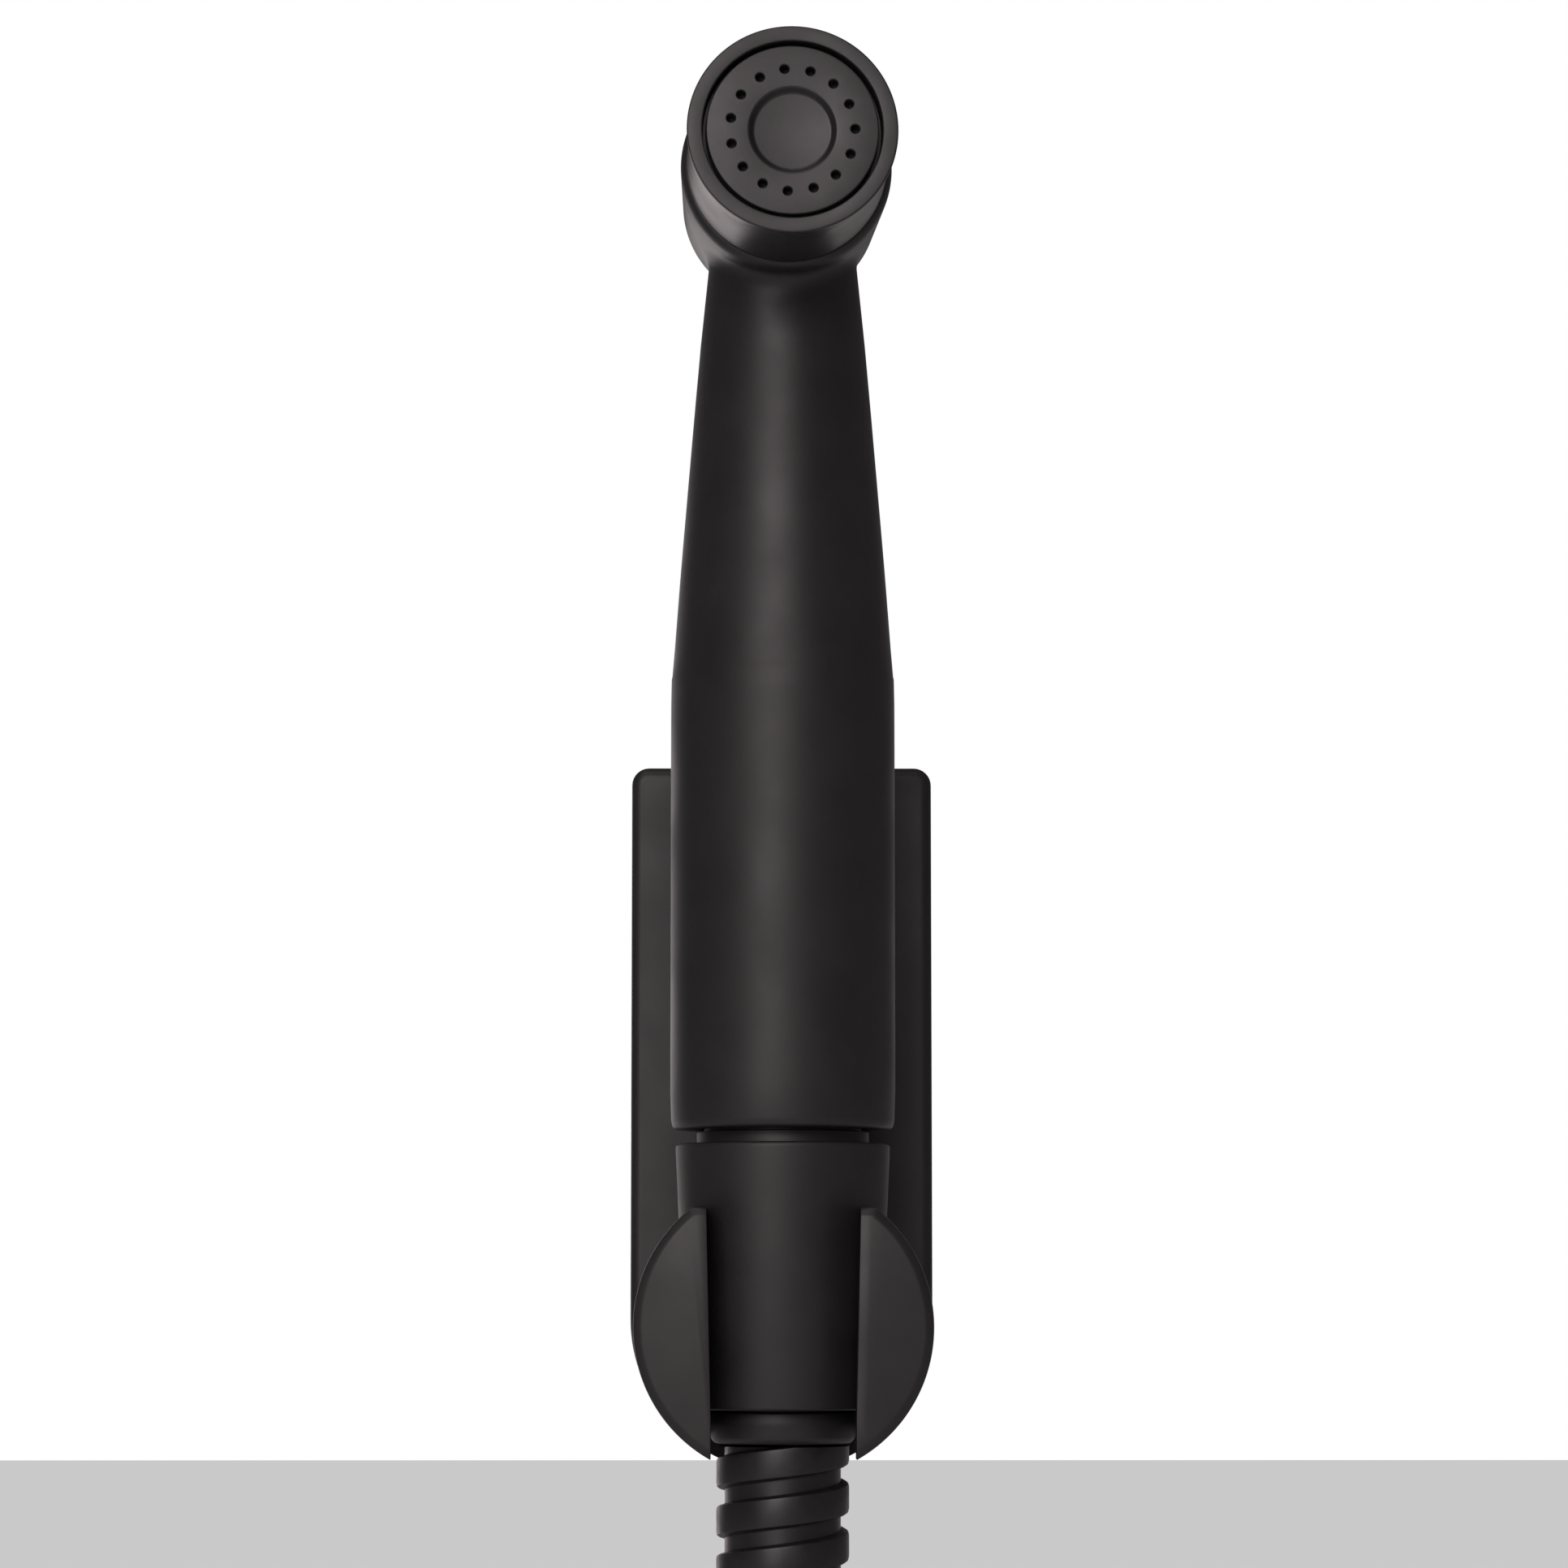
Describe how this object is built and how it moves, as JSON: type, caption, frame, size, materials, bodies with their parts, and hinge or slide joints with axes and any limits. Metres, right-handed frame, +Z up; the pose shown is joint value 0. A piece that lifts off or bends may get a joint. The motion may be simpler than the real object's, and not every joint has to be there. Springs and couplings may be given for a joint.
{
  "type": "handheld shower head",
  "caption": "Hand-held bidet shower with a thumb lever and a round spray face, in its slotted wall holder, with its metal hose put away in a tied coil.",
  "frame": {"origin": "centre of the wall plate's back face", "axes": "+Z up along the handset, +Y into the wall, so the nozzle and the holder's slot look towards -Y, +X to the right as the user faces it"},
  "size_m": [0.1933, 0.0666, 0.3935],
  "materials": {
    "satin_black": "satin black powder coat, fine grain",
    "hose_black": "black coated interlock steel, semi-gloss",
    "stainless": "turned stainless steel",
    "plated_brass": "turned brass",
    "rubber": "smooth moulded rubber",
    "strap": "woven hook-and-loop strap"
  },
  "bodies": {
    "bracket": {"wall_plate": "satin_black", "holder_arm": "satin_black", "arm_screw": "stainless", "locating_pin": "stainless"},
    "hose_end": {"hose": "hose_black", "hose_coil": "hose_black", "hose_tail": "hose_black", "coil_tie": "strap", "hose_ferrule": "stainless", "hose_collar": "satin_black", "hose_washer": "rubber", "filter_screen": "stainless", "far_ferrule": "stainless", "far_washer": "rubber"},
    "handset": {"cone_nut": "satin_black", "inlet_nipple": "plated_brass", "handle_body": "satin_black", "valve_seat": "plated_brass", "valve_spring": "stainless", "stem_oring": "rubber", "rear_gland": "plated_brass", "gland_oring": "rubber", "pivot_pin": "stainless", "nozzle_collar": "satin_black", "nozzle_oring": "rubber", "diffuser_disc": "stainless", "spray_disc": "satin_black"},
    "trigger": {"trigger_lever": "satin_black"},
    "valve": {"valve_stem": "stainless", "poppet_seal": "rubber"},
    "supply_nut": {"wall_nut": "satin_black"}
  },
  "joints": [
    {"name": "handset_lift", "type": "slide", "parent": "bracket", "child": "hose_end", "axis": [0, 0, 1], "range_m": [0, 0.03]},
    {"name": "handset_swivel", "type": "hinge", "parent": "hose_end", "child": "handset", "pos_m": [0, -0.028, 0], "axis": [0, 0, 1], "continuous": true},
    {"name": "trigger_press", "type": "hinge", "parent": "handset", "child": "trigger", "pos_m": [-0.00044, -0.01458, 0.1127], "axis": [-0.9995, -0.0332, 0], "range_deg": [0, 10], "stiffness_Nm_per_rad": 0.8, "springref_deg": -14.32},
    {"name": "valve_slide", "type": "slide", "parent": "handset", "child": "valve", "axis": [0.0332, -0.9995, 0], "range_m": [0, 0.0016], "deforming": ["valve_spring"]},
    {"name": "supply_nut_swivel", "type": "hinge", "parent": "hose_end", "child": "supply_nut", "pos_m": [0.096, -0.0527, -0.23], "axis": [0, 0, 1], "continuous": true}
  ],
  "couplings": [
    {"joint": "valve_slide", "follows": "trigger_press", "m_per_rad": 0.009}
  ]
}
